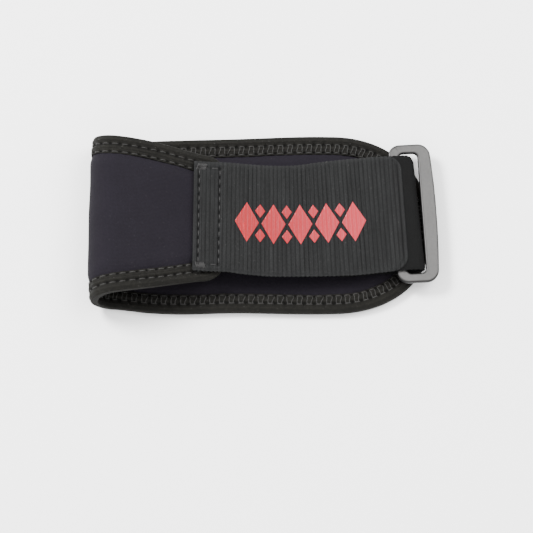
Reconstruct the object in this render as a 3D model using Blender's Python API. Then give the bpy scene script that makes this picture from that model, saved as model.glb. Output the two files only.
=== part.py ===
"""Wrist support: a bound neoprene wrap, laid folded over, with a sewn elastic strap and a ring.

The wrap lies on the floor as it would by itself. X runs along it from the fold to the ring, Y runs
across it and Z is up. Each soft piece is drawn flat, as it is cut, and then laid along its line.
"""
import math

import bmesh
import bpy
import numpy as np
from mathutils import Vector

# The wrap as it lies
LENGTH = 0.1404
BAND_WIDTH = 0.0737
FOLD_HEIGHT = 0.0208
FOLD_REACH = 0.0095
NEAR_RUN = 0.0439
NEAR_DROP = 0.0082
TIP_SETBACK = 0.0030

# Neoprene panel: its cut ends, its wall, and its edge where the binding presses it thin
PANEL_WALL = 0.0038
PRESSED_EDGE = 0.0014
PRESSED_SLOPE = 0.0004
SQUARE_END_CORNER = 0.0095
TONGUE_LENGTH = 0.0408
TONGUE_FULLNESS = 2.2

# Binding tape folded over the edge
BINDING_WIDTH = 0.0074
BINDING_CLOTH = 0.0009
BINDING_ROUND = 0.0010

# Elastic strap: its webbing, where it is sewn on, its turn round the bar and the end that comes back
STRAP_WIDTH = 0.0480
STRAP_WALL = 0.0015
STRAP_SELVEDGE = 0.0004
SEWN_LAP = 0.0140
TURN_START = 0.0036
TURN_REACH = 0.0038
RETURN_LENGTH = 0.0260
RETURN_RISE_START = 0.0030
RETURN_RISE_END = 0.0110

# Flat ring with a free bar that bows outward, lying askew on the tongue
RING_PLAY = 0.0010
RING_OPENING = 0.0077
RING_THICKNESS = 0.0022
HELD_BAR = 0.0040
FREE_BAR = 0.0048
FREE_BAR_BOW = 0.0012
END_BAR = 0.0038
RING_OUTER_CORNER = 0.0046
RING_INNER_CORNER = 0.0020
RING_EDGE = 0.0006
RING_TURN = math.radians(4.0)
RING_DROOP = math.radians(3.0)
RING_SHIFT = 0.0032

# Space kept between two pieces
GAP = 0.0003

# How finely the curved stretches are cut
PANEL_STEP = 0.0025
FLAT_STEP = 0.0080
STRAP_STEP = 0.0035
CORNER_CUTS = 6
TONGUE_CUTS = 13
TURN_CUTS = 10

# Across the panel: place along it as a share of its length, half width as a share of half the
# band's width, sideways shift as a share of the band's width, and lean of the cross line in degrees
PANEL_ROWS = [
    {"along": 0.000, "half": 0.655, "shift": 0.0035, "lean": -0.8},
    {"along": 0.080, "half": 0.735, "shift": 0.0045, "lean": -0.8},
    {"along": 0.135, "half": 0.797, "shift": 0.0045, "lean": -0.6},
    {"along": 0.195, "half": 0.852, "shift": 0.0040, "lean": -0.4},
    {"along": 0.245, "half": 0.893, "shift": 0.0035, "lean": -0.2},
    {"along": 0.297, "half": 0.931, "shift": 0.0015, "lean": 0.0},
    {"along": 0.370, "half": 0.941, "shift": 0.0000, "lean": 0.0},
    {"along": 0.435, "half": 0.970, "shift": 0.0000, "lean": 0.0},
    {"along": 0.505, "half": 0.981, "shift": 0.0000, "lean": 0.0},
    {"along": 0.605, "half": 0.975, "shift": 0.0000, "lean": 0.0},
    {"along": 0.755, "half": 1.000, "shift": 0.0000, "lean": 0.0},
    {"along": 1.000, "half": 1.000, "shift": 0.0000, "lean": 0.0},
]

# Across the strap: place as a share of the way from its sewn end to the ring's held bar, width as a
# share of the strap's width, sideways shift as a share of the ring's shift, and lean in degrees
STRAP_ROWS = [
    {"along": 0.000, "width": 0.940, "shift": 0.100, "lean": -0.8},
    {"along": 0.170, "width": 0.940, "shift": 0.050, "lean": -0.8},
    {"along": 0.240, "width": 0.945, "shift": -0.100, "lean": -0.6},
    {"along": 0.370, "width": 0.950, "shift": -0.270, "lean": 0.0},
    {"along": 0.510, "width": 0.957, "shift": -0.190, "lean": 1.6},
    {"along": 0.640, "width": 0.985, "shift": 0.110, "lean": 3.2},
    {"along": 0.780, "width": 1.000, "shift": 0.430, "lean": 4.0},
    {"along": 0.910, "width": 0.995, "shift": 0.780, "lean": 4.0},
    {"along": 1.000, "width": 0.990, "shift": 1.000, "lean": 4.0},
]

MATERIALS = {
    "neoprene_jersey": {"colour": (0.034, 0.031, 0.038), "roughness": 0.85, "metallic": 0.0},
    "binding_tape": {"colour": (0.036, 0.035, 0.033), "roughness": 0.80, "metallic": 0.0},
    "elastic_webbing": {"colour": (0.042, 0.043, 0.043), "roughness": 0.75, "metallic": 0.0},
    "ring_metal": {"colour": (0.340, 0.335, 0.330), "roughness": 0.38, "metallic": 0.8},
}


def clear_scene():
    for item in list(bpy.data.objects):
        bpy.data.objects.remove(item, do_unlink=True)


def read_rows(rows, column, share):
    """A smooth curve through one column of a table, read at a share of the way along it."""
    places = [row["along"] for row in rows]
    values = [row[column] for row in rows]
    last = len(rows) - 1
    i = int(np.clip(np.searchsorted(places, share) - 1, 0, last - 1))

    def slope(k):
        low = max(k - 1, 0)
        high = min(k + 1, last)
        return (values[high] - values[low]) / (places[high] - places[low])

    step = places[i + 1] - places[i]
    t = min(max((share - places[i]) / step, 0.0), 1.0)
    start = (1 + 2 * t) * (1 - t) ** 2 * values[i] + t * (1 - t) ** 2 * step * slope(i)
    end = t * t * (3 - 2 * t) * values[i + 1] + t * t * (t - 1) * step * slope(i + 1)
    return start + end


def smooth_step(t):
    return t * t * (3 - 2 * t)


class PanelLine:
    """The middle line of the panel's wall, from its square end over the fold to the tongue's tip."""

    SAMPLES = 240

    def __init__(self):
        floor = PANEL_WALL / 2
        top = FOLD_HEIGHT - PANEL_WALL / 2
        fold_x = -LENGTH / 2 + PANEL_WALL / 2 + FOLD_REACH
        t = np.linspace(0.0, 1.0, self.SAMPLES)
        near_x = fold_x + NEAR_RUN * (1 - t)
        near_z = top - NEAR_DROP * smooth_step(1 - t)
        turn = np.pi * t
        bend_x = fold_x - FOLD_REACH * np.sin(turn)
        bend_z = (top + floor) / 2 + (top - floor) / 2 * np.cos(turn)
        tip_x = LENGTH / 2 - TIP_SETBACK
        far_x = fold_x + (tip_x - fold_x) * t
        far_z = np.full_like(t, floor)
        self.x = np.concatenate([near_x, bend_x[1:], far_x[1:]])
        self.z = np.concatenate([near_z, bend_z[1:], far_z[1:]])
        steps = np.hypot(np.diff(self.x), np.diff(self.z))
        self.run = np.concatenate([[0.0], np.cumsum(steps)])
        self.length = float(self.run[-1])
        self.fold_end = float(self.run[2 * self.SAMPLES - 2])
        self.normal_x = np.gradient(self.z, self.run)
        self.normal_z = -np.gradient(self.x, self.run)

    def read(self, along, outward):
        """The x and z of a point at a distance along the line and outward from it."""
        nx = float(np.interp(along, self.run, self.normal_x))
        nz = float(np.interp(along, self.run, self.normal_z))
        size = math.hypot(nx, nz)
        x = float(np.interp(along, self.run, self.x)) + outward * nx / size
        z = float(np.interp(along, self.run, self.z)) + outward * nz / size
        return x, z

    def half_width(self, along):
        return read_rows(PANEL_ROWS, "half", along / self.length) * BAND_WIDTH / 2

    def place(self, along, across, outward):
        """Lays a point of the flat cut panel along the line."""
        share = along / self.length
        lean = math.radians(read_rows(PANEL_ROWS, "lean", share))
        x, z = self.read(along, outward)
        y = read_rows(PANEL_ROWS, "shift", share) * BAND_WIDTH + across * math.cos(lean)
        return Vector((x - across * math.sin(lean), y, z))


def panel_stations(line):
    """Places along the panel between its square end's corners and its tongue."""
    tongue = line.length - TONGUE_LENGTH
    places = list(np.arange(SQUARE_END_CORNER + PANEL_STEP, line.fold_end + PANEL_STEP, PANEL_STEP))
    places += list(np.arange(places[-1] + FLAT_STEP, tongue - FLAT_STEP / 2, FLAT_STEP))
    return [float(place) for place in places]


def half_outline(line):
    """Upper half of the flat cut panel's outline, each point with its inward direction."""
    points = []
    corner = SQUARE_END_CORNER
    flat = line.half_width(corner) - corner
    for share in (0.0, 0.5):
        points.append((0.0, flat * share, 1.0, 0.0))
    for k in range(CORNER_CUTS + 1):
        turn = math.pi / 2 * k / CORNER_CUTS
        in_along = math.cos(turn)
        in_across = math.sin(turn)
        points.append((corner * (1 - in_along), flat + corner * in_across, in_along, -in_across))
    for along in panel_stations(line):
        points.append((along, line.half_width(along), 0.0, -1.0))
    base = line.length - TONGUE_LENGTH
    half = line.half_width(base)
    power = TONGUE_FULLNESS
    for k in range(TONGUE_CUTS + 1):
        turn = math.pi / 2 * k / TONGUE_CUTS
        out = math.sin(turn) ** (2 / power)
        side = max(math.cos(turn), 0.0) ** (2 / power) if k < TONGUE_CUTS else 0.0
        facing = Vector((out ** (power - 1) / TONGUE_LENGTH, side ** (power - 1) / half)).normalized()
        points.append((base + TONGUE_LENGTH * out, half * side, -facing.x, -facing.y))
    return points


def outline_loop(line, inset, outward):
    """The whole outline, moved inward by the inset, as points along, across and outward."""
    upper = [(a + na * inset, b + nb * inset, outward) for a, b, na, nb in half_outline(line)]
    upper[0] = (upper[0][0], 0.0, outward)
    upper[-1] = (upper[-1][0], 0.0, outward)
    lower = [(a, -b, n) for a, b, n in upper[-2:0:-1]]
    return upper + lower


def skin_of_loops(loops, closed):
    """A mesh skinned over loops with as many points each, closed round or capped at both ends."""
    mesh = bmesh.new()
    rings = [[mesh.verts.new(point) for point in loop] for loop in loops]
    count = len(loops[0])
    pairs = list(zip(rings, rings[1:]))
    if closed:
        pairs.append((rings[-1], rings[0]))
    for first, second in pairs:
        for i in range(count):
            j = (i + 1) % count
            mesh.faces.new((first[i], first[j], second[j], second[i]))
    if not closed:
        mesh.faces.new(list(reversed(rings[0])))
        mesh.faces.new(rings[-1])
    return mesh


def make_material(name):
    values = MATERIALS[name]
    material = bpy.data.materials.new(name)
    material.use_nodes = True
    shader = material.node_tree.nodes["Principled BSDF"]
    shader.inputs["Base Color"].default_value = (*values["colour"], 1.0)
    shader.inputs["Roughness"].default_value = values["roughness"]
    shader.inputs["Metallic"].default_value = values["metallic"]
    return material


def make_object(name, mesh, material, sharp_angle):
    """Turns a finished mesh into a named object with its faces pointing out."""
    bmesh.ops.recalc_face_normals(mesh, faces=mesh.faces[:])
    if mesh.calc_volume(signed=True) < 0:
        bmesh.ops.reverse_faces(mesh, faces=mesh.faces[:])
    data = bpy.data.meshes.new(name)
    mesh.to_mesh(data)
    mesh.free()
    data.shade_smooth()
    data.set_sharp_from_angle(angle=math.radians(sharp_angle))
    data.materials.append(make_material(material))
    item = bpy.data.objects.new(name, data)
    bpy.context.scene.collection.objects.link(item)
    return item


def lay_along(mesh, line):
    for vert in mesh.verts:
        vert.co = line.place(*vert.co)


def build_body(line):
    """The neoprene panel: full wall inside, pressed thin under the binding."""
    rim = BINDING_CLOTH + GAP
    step = BINDING_WIDTH + GAP
    thin = PRESSED_EDGE / 2
    full = PANEL_WALL / 2
    section = [(step + PRESSED_SLOPE, -full), (step, -thin), (rim, -thin)]
    section += [(inset, -outward) for inset, outward in reversed(section)]
    mesh = skin_of_loops([outline_loop(line, inset, n) for inset, n in section], closed=False)
    for along in panel_stations(line):
        if along < line.fold_end + PANEL_STEP:
            parts = mesh.verts[:] + mesh.edges[:] + mesh.faces[:]
            bmesh.ops.bisect_plane(
                mesh, geom=parts, dist=1e-6, plane_co=(along, 0, 0), plane_no=(1, 0, 0)
            )
    lay_along(mesh, line)
    return make_object("neoprene_body", mesh, "neoprene_jersey", 40)


def build_binding(line):
    """The tape folded over the panel's edge, all the way round it."""
    out = PANEL_WALL / 2
    lip = PRESSED_EDGE / 2 + GAP
    upper = [(BINDING_WIDTH, lip), (BINDING_WIDTH, out)]
    for turn in (0.0, math.pi / 4, math.pi / 2):
        inset = BINDING_ROUND * (1 - math.sin(turn))
        upper.append((inset, out - BINDING_ROUND * (1 - math.cos(turn))))
    lower = [(inset, -outward) for inset, outward in reversed(upper)]
    inner = [(BINDING_CLOTH, -lip), (BINDING_CLOTH, lip)]
    section = upper + lower + inner
    mesh = skin_of_loops([outline_loop(line, inset, n) for inset, n in section], closed=True)
    lay_along(mesh, line)
    return make_object("binding", mesh, "binding_tape", 40)


class RingFrame:
    """Where the ring lies: the middle of its held bar, and its directions along and across."""

    def __init__(self):
        self.half_length = STRAP_WIDTH / 2 + RING_PLAY
        self.along = Vector((math.cos(RING_TURN), math.sin(RING_TURN), 0.0))
        self.across = Vector((-math.sin(RING_TURN), math.cos(RING_TURN), 0.0))
        droop = Vector((0.0, 0.0, -math.sin(RING_DROOP)))
        self.slope = self.along * math.cos(RING_DROOP) + droop
        self.up = self.slope.cross(self.across)
        self.half_height = RING_THICKNESS / 2 + HELD_BAR / 2 * math.sin(RING_DROOP)
        height = PANEL_WALL + GAP + STRAP_WALL + GAP + self.half_height
        self.centre = Vector((0.0, RING_SHIFT, height))
        reach = max((self.slope * p + self.across * q).x for p, q in self.outer_outline())
        self.centre.x = LENGTH / 2 - reach

    def outer_outline(self):
        left = -HELD_BAR / 2
        right = HELD_BAR / 2 + RING_OPENING + FREE_BAR
        half = self.half_length + END_BAR
        return self.outline(left, right, half, RING_OUTER_CORNER, FREE_BAR_BOW)

    def inner_outline(self):
        left = HELD_BAR / 2
        right = left + RING_OPENING
        return self.outline(left, right, self.half_length, RING_INNER_CORNER, 0.0)

    def outline(self, left, right, half, corner, bow):
        """A rectangle with round corners whose right side bows outward."""
        points = []
        centres = [(right, half, -1, -1, 0), (left, half, 1, -1, 90)]
        centres += [(left, -half, 1, 1, 180), (right, -half, -1, 1, 270)]
        for p, q, to_p, to_q, start in centres:
            for k in range(CORNER_CUTS + 1):
                turn = math.radians(start + 90 * k / CORNER_CUTS)
                point_p = p + to_p * corner + corner * math.cos(turn)
                point_q = q + to_q * corner + corner * math.sin(turn)
                points.append((point_p, point_q))
        straight = half - corner
        for k in range(1, CORNER_CUTS):
            points.append((right, straight * (2 * k / CORNER_CUTS - 1)))
        return [(self.bowed(p, q, left, right, half, bow), q) for p, q in points]

    def bowed(self, p, q, left, right, half, bow):
        share = (p - left) / (right - left)
        return p + bow * share ** 4 * (1 - (q / half) ** 2)

    def place(self, p, q, n):
        return self.centre + self.slope * p + self.across * q + self.up * n


def build_ring(frame):
    top = RING_THICKNESS / 2
    side = top - RING_EDGE
    outer = [Vector(point) for point in frame.outer_outline()]
    inner = [Vector(point) for point in frame.inner_outline()]
    edges = [(b - a).normalized() * RING_EDGE for a, b in zip(outer, inner)]
    outer_rim = [a + edge for a, edge in zip(outer, edges)]
    inner_rim = [b - edge for b, edge in zip(inner, edges)]
    section = [(outer, -side), (outer, side), (outer_rim, top), (inner_rim, top)]
    section += [(inner, side), (inner, -side), (inner_rim, -top), (outer_rim, -top)]
    loops = [[frame.place(point.x, point.y, height) for point in loop] for loop, height in section]
    return make_object("ring", skin_of_loops(loops, closed=True), "ring_metal", 35)


def strap_path(line, frame):
    """Centre points of the strap with the share of its run that each is read at."""
    lift = PANEL_WALL / 2 + GAP + STRAP_WALL / 2
    upper = frame.half_height + GAP + STRAP_WALL / 2
    bar_x = frame.centre.x
    end_x, end_z = line.read(0.0, lift)
    start_x, start_z = line.read(SEWN_LAP, lift)
    points = []
    for along in np.linspace(SEWN_LAP, 0.0, max(int(SEWN_LAP / STRAP_STEP), 2) + 1):
        points.append(line.read(float(along), lift))
    over_bar = frame.centre.z + upper
    free = bar_x - end_x
    for share in np.linspace(0.0, 1.0, int(free / STRAP_STEP) + 1)[1:]:
        points.append((end_x + free * share, over_bar + (end_z - over_bar) * (1 - share) ** 2))
    points.append((bar_x + TURN_START / 2, over_bar))
    for k in range(TURN_CUTS + 1):
        turn = math.pi * k / TURN_CUTS
        across = TURN_REACH * math.sin(turn)
        points.append((bar_x + TURN_START + across, frame.centre.z + upper * math.cos(turn)))
    points.append((bar_x, frame.centre.z - upper))
    for back in np.arange(RETURN_RISE_START, RETURN_LENGTH, STRAP_STEP):
        close = (back - RETURN_RISE_START) / (RETURN_RISE_END - RETURN_RISE_START)
        x = bar_x - float(back)
        share = (x - end_x) / free
        run_z = over_bar + (end_z - over_bar) * (1 - share) ** 2
        low = frame.centre.z - upper
        points.append((x, low + (run_z - STRAP_WALL - GAP - low) * smooth_step(min(close, 1.0))))
    shares = [(x - start_x) / (bar_x - start_x) for x, z in points]
    return points, shares


def build_strap(line, frame):
    """The strap: sewn lap, free run, turn round the held bar, and the end closed up below."""
    points, shares = strap_path(line, frame)
    centres = []
    for (x, z), share in zip(points, shares):
        inside = min(share, 1.0)
        y = read_rows(STRAP_ROWS, "shift", inside) * RING_SHIFT
        y += (x - frame.centre.x) * math.tan(RING_TURN) if share > 1.0 else 0.0
        centres.append(Vector((x, y, z)))
    loops = []
    for i, centre in enumerate(centres):
        inside = min(shares[i], 1.0)
        lean = math.radians(read_rows(STRAP_ROWS, "lean", inside))
        half = read_rows(STRAP_ROWS, "width", inside) * STRAP_WIDTH / 2
        cross = Vector((-math.sin(lean), math.cos(lean), 0.0))
        ahead = centres[min(i + 1, len(centres) - 1)] - centres[max(i - 1, 0)]
        up = ahead.cross(cross).normalized()
        thick = STRAP_WALL / 2
        thin = thick - STRAP_SELVEDGE
        corner = half - STRAP_SELVEDGE
        section = [(half, -thin), (half, thin), (corner, thick), (-corner, thick)]
        section += [(-half, thin), (-half, -thin), (-corner, -thick), (corner, -thick)]
        loops.append([centre + cross * v + up * n for v, n in section])
    return make_object("strap", skin_of_loops(loops, closed=False), "elastic_webbing", 40)


def build_all():
    clear_scene()
    line = PanelLine()
    frame = RingFrame()
    build_body(line)
    build_binding(line)
    build_strap(line, frame)
    build_ring(frame)


build_all()
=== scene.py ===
"""Looks of the wrist support: jersey, tape, webbing, thread, print and ring over the packed frame."""
import math

import bmesh
import bpy
import numpy as np
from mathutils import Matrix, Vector, noise


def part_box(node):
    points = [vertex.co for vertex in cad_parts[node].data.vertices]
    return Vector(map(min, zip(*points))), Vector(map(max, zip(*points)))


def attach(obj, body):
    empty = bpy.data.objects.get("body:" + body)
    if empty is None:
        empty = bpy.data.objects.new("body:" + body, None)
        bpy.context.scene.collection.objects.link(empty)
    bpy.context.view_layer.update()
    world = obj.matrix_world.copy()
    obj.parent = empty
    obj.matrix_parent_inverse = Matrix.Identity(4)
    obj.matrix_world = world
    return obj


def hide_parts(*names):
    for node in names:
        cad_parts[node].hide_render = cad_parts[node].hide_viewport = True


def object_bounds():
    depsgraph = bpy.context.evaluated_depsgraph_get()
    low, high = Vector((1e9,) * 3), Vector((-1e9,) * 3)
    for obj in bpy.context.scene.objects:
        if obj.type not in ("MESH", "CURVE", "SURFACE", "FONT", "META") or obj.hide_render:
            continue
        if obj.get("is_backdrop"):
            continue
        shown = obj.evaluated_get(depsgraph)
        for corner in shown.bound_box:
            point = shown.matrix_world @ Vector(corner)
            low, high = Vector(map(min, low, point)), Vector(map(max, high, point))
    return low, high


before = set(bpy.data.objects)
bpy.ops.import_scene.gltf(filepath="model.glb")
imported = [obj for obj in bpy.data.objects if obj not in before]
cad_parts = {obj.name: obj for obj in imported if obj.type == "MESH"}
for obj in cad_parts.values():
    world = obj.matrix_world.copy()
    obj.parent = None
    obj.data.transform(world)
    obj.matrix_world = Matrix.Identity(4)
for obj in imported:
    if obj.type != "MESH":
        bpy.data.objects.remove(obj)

bl_info = {
    "name": "Wrist Support Finish",
    "version": (1, 0, 0),
    "blender": (4, 5, 0),
    "location": "View3D > Sidebar > Support",
    "description": "Dresses a neoprene wrist support with cloth, thread, print and a satin ring",
    "category": "Add Mesh",
}

MM = 0.001

# The model's box and the height of its fold, from the packed frame
CAD_LOW, CAD_HIGH = (tuple(corner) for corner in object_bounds())
FOLD_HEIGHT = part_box("binding")[1].z

# The solids' own sizes, which the dressed pieces follow
BAND_WIDTH = 0.0737
FOLD_REACH = 0.0095
NEAR_RUN = 0.0439
NEAR_DROP = 0.0082
TIP_SETBACK = 0.0030
PANEL_WALL = 0.0038
SQUARE_END_CORNER = 0.0095
TONGUE_LENGTH = 0.0408
TONGUE_FULLNESS = 2.2
BINDING_WIDTH = 0.0074
STRAP_WIDTH = 0.0480
STRAP_WALL = 0.0015
SEWN_LAP = 0.0140
TURN_START = 0.0036
RETURN_LENGTH = 0.0260
RETURN_RISE_START = 0.0030
RETURN_RISE_END = 0.0110
RING_PLAY = 0.0010
RING_OPENING = 0.0077
RING_THICKNESS = 0.0022
HELD_BAR = 0.0040
FREE_BAR = 0.0048
FREE_BAR_BOW = 0.0012
END_BAR = 0.0038
RING_OUTER_CORNER = 0.0046
RING_INNER_CORNER = 0.0020
RING_TURN = math.radians(4.0)
RING_DROOP = math.radians(3.0)
RING_SHIFT = 0.0032
GAP = 0.0003

# Where the dressed pieces leave the solids: the strap's turn is looser, narrower on its far side and
# slanted (in degrees), its return ends just inside the named length, and the fold is eased in, more so
# at its corners
TURN_REACH = 0.0048
TURN_PINCH = 0.0016
TURN_LEAN = 1.8
RETURN_TRIM = 0.0010
FOLD_EASE = 0.0004
FOLD_CURL = 0.0010
CURL_POWER = 8

# The panel's skin under, beside and past the tape
PRESSED_HALF = 0.7 * MM
TAPE_COVER = 0.3 * MM
PRESS_RISE = 0.4 * MM
SWELL_REACH = 3.4 * MM
BODY_EDGE_GAP = 1.3 * MM
BODY_NARROWEST = 0.3 * MM

# The tape's sewn rows, holes, long ridges and puckers, by distance in from the panel's edge
NEEDLE_ROWS = (3.4 * MM, 6.7 * MM)
CHANNEL_WIDTH = 0.55 * MM
HOLE_WIDTH = 0.60 * MM
HOLE_LENGTH = 0.75 * MM
RIDGES_END = 6.2 * MM
RIDGES_FADE = 0.8 * MM
PUCKER_START = 1.4 * MM
PUCKER_FADE = 2.4 * MM

# The tape's section: its rolled lip, its round fold and the hollow that holds the panel
TAPE_EDGE_ROUND = 1.1 * MM
TAPE_CLOTH = 0.9 * MM
TAPE_HEM = 0.3 * MM
TAPE_HOLLOW_TAPER = 2.0 * MM
TAPE_HOLLOW_END = 0.6
LIP_INSETS = (0.0, 0.12 * MM)
LIP_DROPS = (0.42 * MM, 0.12 * MM)
LIP_REACH = 0.4 * MM
WANDER_START = 5.6 * MM
WANDER_FADE = 1.6 * MM
FULLNESS_REACH = 1.2 * MM
FULLNESS_FADE = 1.0 * MM

# The strap's ribs and selvedges, the ribs as shares of their pitch and height
RIB_POWER = 0.75
GROOVE_DEPTH = 0.30
GROOVE_WIDTH = 0.09
SELVEDGE = 0.5 * MM
SELVEDGE_FADE = 0.9 * MM
SELVEDGE_DROP = 0.28 * MM
SELVEDGE_WIDTH = 1.1 * MM
SCALLOP_POWER = 12

# The strap's seams, and the webbing's end with its tucked groove and the step to the pile tape
SEAM_ROWS = (2.2 * MM, 10.6 * MM)
SEAM_ACROSS = 20.0 * MM
SEAM_WIDTH = 0.55 * MM
SIDE_SEAM_WIDTH = 0.5 * MM
SEAM_FADE = 1.0 * MM
SEAM_HOLE_LENGTH = 0.95 * MM
SEAM_HOLE_DEPTH = 1.3
WEBBING_PAST_BAR = 2.7 * MM
WEBBING_CORNER = 6.0 * MM
PILE_START = 0.2 * MM
PILE_STEP = 0.5 * MM
TUCK_DEPTH = 0.25 * MM
TUCK_BACK = 1.6 * MM
TUCK_WIDTH = 0.5 * MM

# Lengths of the slow waves in the cloth, and a seed for each
BODY_WAVES, BODY_SEED = 17 * MM, 3
STRAP_WAVES, STRAP_SEED = 21 * MM, 5
TAPE_WAVES, TAPE_SEED = 9 * MM, 11
LOOP_SEED = 17

# Sections of the panel, close to the solids' and a little nearer the photograph's edges: half and
# shift are shares of the band's half width and width, and each lean is in degrees
PANEL_ROWS = [
    {"along": 0.000, "half": 0.655, "shift": 0.0035, "lean": -0.8},
    {"along": 0.080, "half": 0.735, "shift": 0.0045, "lean": -0.8},
    {"along": 0.135, "half": 0.797, "shift": 0.0045, "lean": -0.6},
    {"along": 0.195, "half": 0.850, "shift": 0.0025, "lean": -0.7},
    {"along": 0.245, "half": 0.886, "shift": 0.0005, "lean": -0.8},
    {"along": 0.297, "half": 0.919, "shift": -0.0010, "lean": -0.8},
    {"along": 0.370, "half": 0.930, "shift": -0.0040, "lean": -0.5},
    {"along": 0.435, "half": 0.962, "shift": -0.0080, "lean": 0.0},
    {"along": 0.505, "half": 0.975, "shift": -0.0080, "lean": 0.0},
    {"along": 0.605, "half": 0.975, "shift": -0.0010, "lean": 0.0},
    {"along": 0.755, "half": 0.995, "shift": 0.0025, "lean": 0.0},
    {"along": 0.880, "half": 0.985, "shift": 0.0025, "lean": 1.2},
    {"along": 1.000, "half": 1.000, "shift": 0.0000, "lean": 2.4},
]

# Sections of the strap: width and shift are shares of its own width and of the ring's shift, and each
# lean is in degrees
STRAP_ROWS = [
    {"along": 0.000, "width": 0.940, "shift": 0.100, "lean": -0.8},
    {"along": 0.170, "width": 0.940, "shift": 0.050, "lean": -0.8},
    {"along": 0.240, "width": 0.945, "shift": -0.100, "lean": -0.6},
    {"along": 0.370, "width": 0.950, "shift": -0.270, "lean": 0.0},
    {"along": 0.510, "width": 0.957, "shift": -0.190, "lean": 1.6},
    {"along": 0.640, "width": 0.985, "shift": 0.110, "lean": 3.2},
    {"along": 0.780, "width": 1.000, "shift": 0.430, "lean": 4.0},
    {"along": 0.910, "width": 0.995, "shift": 0.780, "lean": 4.0},
    {"along": 1.000, "width": 0.990, "shift": 1.000, "lean": 4.0},
]

# The photograph's camera: its slant, its distance and what its frame covers at the floor
CAMERA_ELEVATION = math.radians(74.0)
CAMERA_DISTANCE = 3.20
FRAME_WIDTH = 0.2135
FRAME_PIXELS = 533
SENSOR_WIDTH = 36.0
OBJECT_PIXEL = (263.3, 227.15)


def read_rows(rows, column, share):
    """A smooth curve through one column of a table, read at an array of shares along it."""
    places = np.array([row["along"] for row in rows])
    values = np.array([row[column] for row in rows])
    slopes = np.empty_like(values)
    slopes[1:-1] = (values[2:] - values[:-2]) / (places[2:] - places[:-2])
    slopes[0] = (values[1] - values[0]) / (places[1] - places[0])
    slopes[-1] = (values[-1] - values[-2]) / (places[-1] - places[-2])
    share = np.clip(np.asarray(share, float), 0.0, 1.0)
    i = np.clip(np.searchsorted(places, share) - 1, 0, len(places) - 2)
    step = places[i + 1] - places[i]
    t = (share - places[i]) / step
    start = (1 + 2 * t) * (1 - t) ** 2 * values[i] + t * (1 - t) ** 2 * step * slopes[i]
    end = t * t * (3 - 2 * t) * values[i + 1] + t * t * (t - 1) * step * slopes[i + 1]
    return start + end


def smooth_step(t):
    t = np.clip(t, 0.0, 1.0)
    return t * t * (3 - 2 * t)


def crowded(count, power):
    """Places from minus one to one that crowd toward both ends."""
    t = np.linspace(-1, 1, count)
    return np.sign(t) * (1 - (1 - np.abs(t)) ** power)


def dent(distance, width):
    """One at the middle of a dent, falling smoothly to nothing."""
    return np.exp(-(np.asarray(distance) / width) ** 2)


def slow_waves(a, b, scale, seed):
    """Quiet unevenness of cloth over a flat pattern, from minus one to one."""
    points = np.stack([np.ravel(a) / scale, np.ravel(b) / scale, np.full(np.size(a), float(seed))], axis=1)
    return np.array([noise.noise(Vector(point)) for point in points]).reshape(np.shape(a))


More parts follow.
